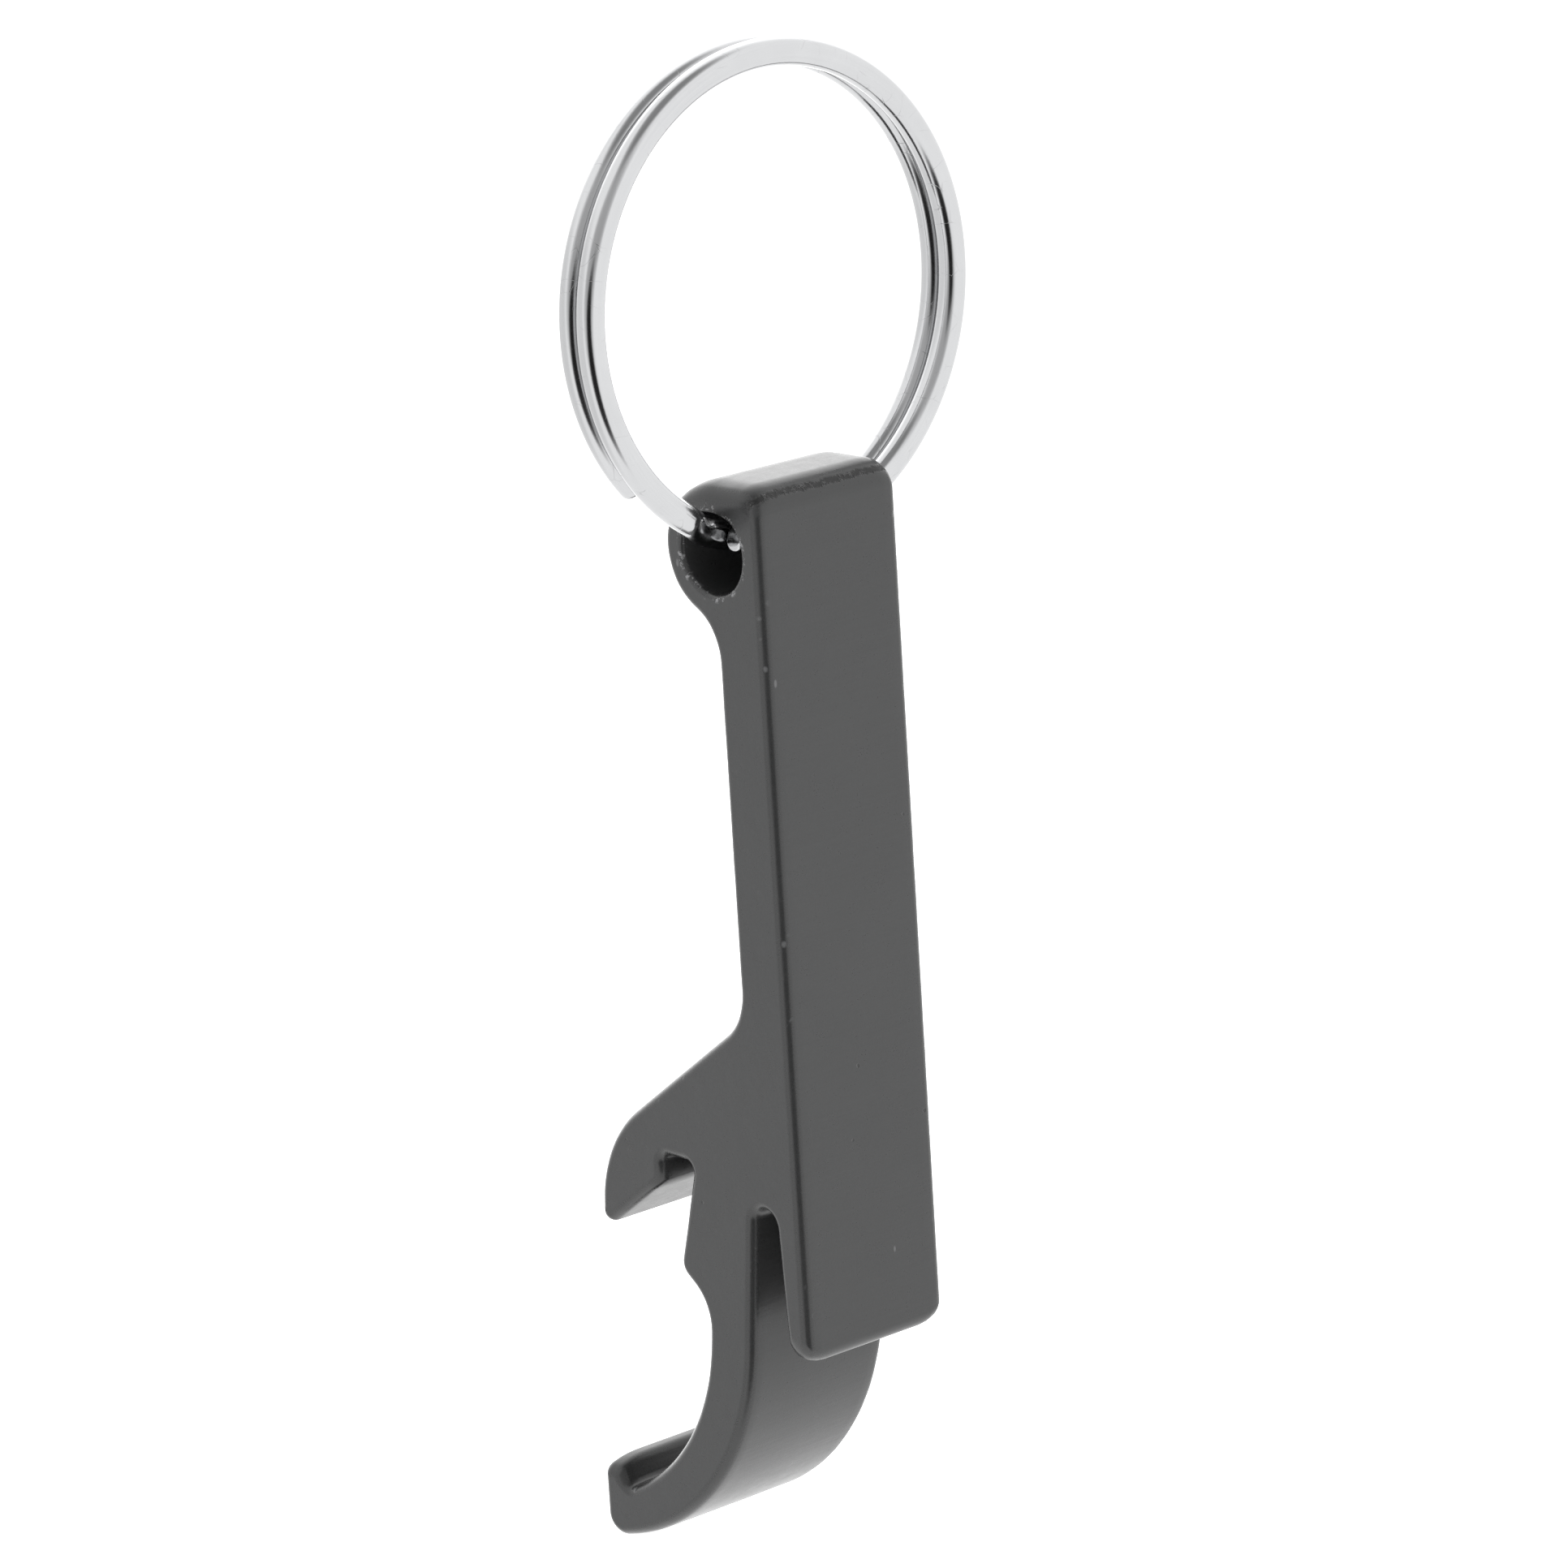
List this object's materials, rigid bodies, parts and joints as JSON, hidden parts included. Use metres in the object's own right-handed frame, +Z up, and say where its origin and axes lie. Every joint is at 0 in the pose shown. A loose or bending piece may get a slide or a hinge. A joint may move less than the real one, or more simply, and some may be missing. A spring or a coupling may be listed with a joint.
{
  "type": "keychain bottle opener",
  "caption": "Flat extruded metal bottle and can opener with a hooked cap mouth and a can-tab slot, hanging from a two-turn split key ring.",
  "frame": {"origin": "centre of the split ring, from which the opener hangs straight down", "axes": "+X out of the opener's flat front face and along the ring's axis, +Y along the width of the extruded body, +Z up"},
  "size_m": [0.0164, 0.025, 0.0774],
  "materials": {
    "body_metal": "satin dark grey anodised, tumbled edges",
    "ring_steel": "bright nickel plated, polished"
  },
  "bodies": {
    "ring": {"split_ring": "ring_steel"},
    "opener": {"opener_body": "body_metal"}
  },
  "joints": [
    {"name": "opener_swing", "type": "hinge", "parent": "ring", "child": "opener", "pos_m": [0, 0, -0.01186], "axis": [0, 1, 0], "range_deg": [-167, 174]}
  ]
}
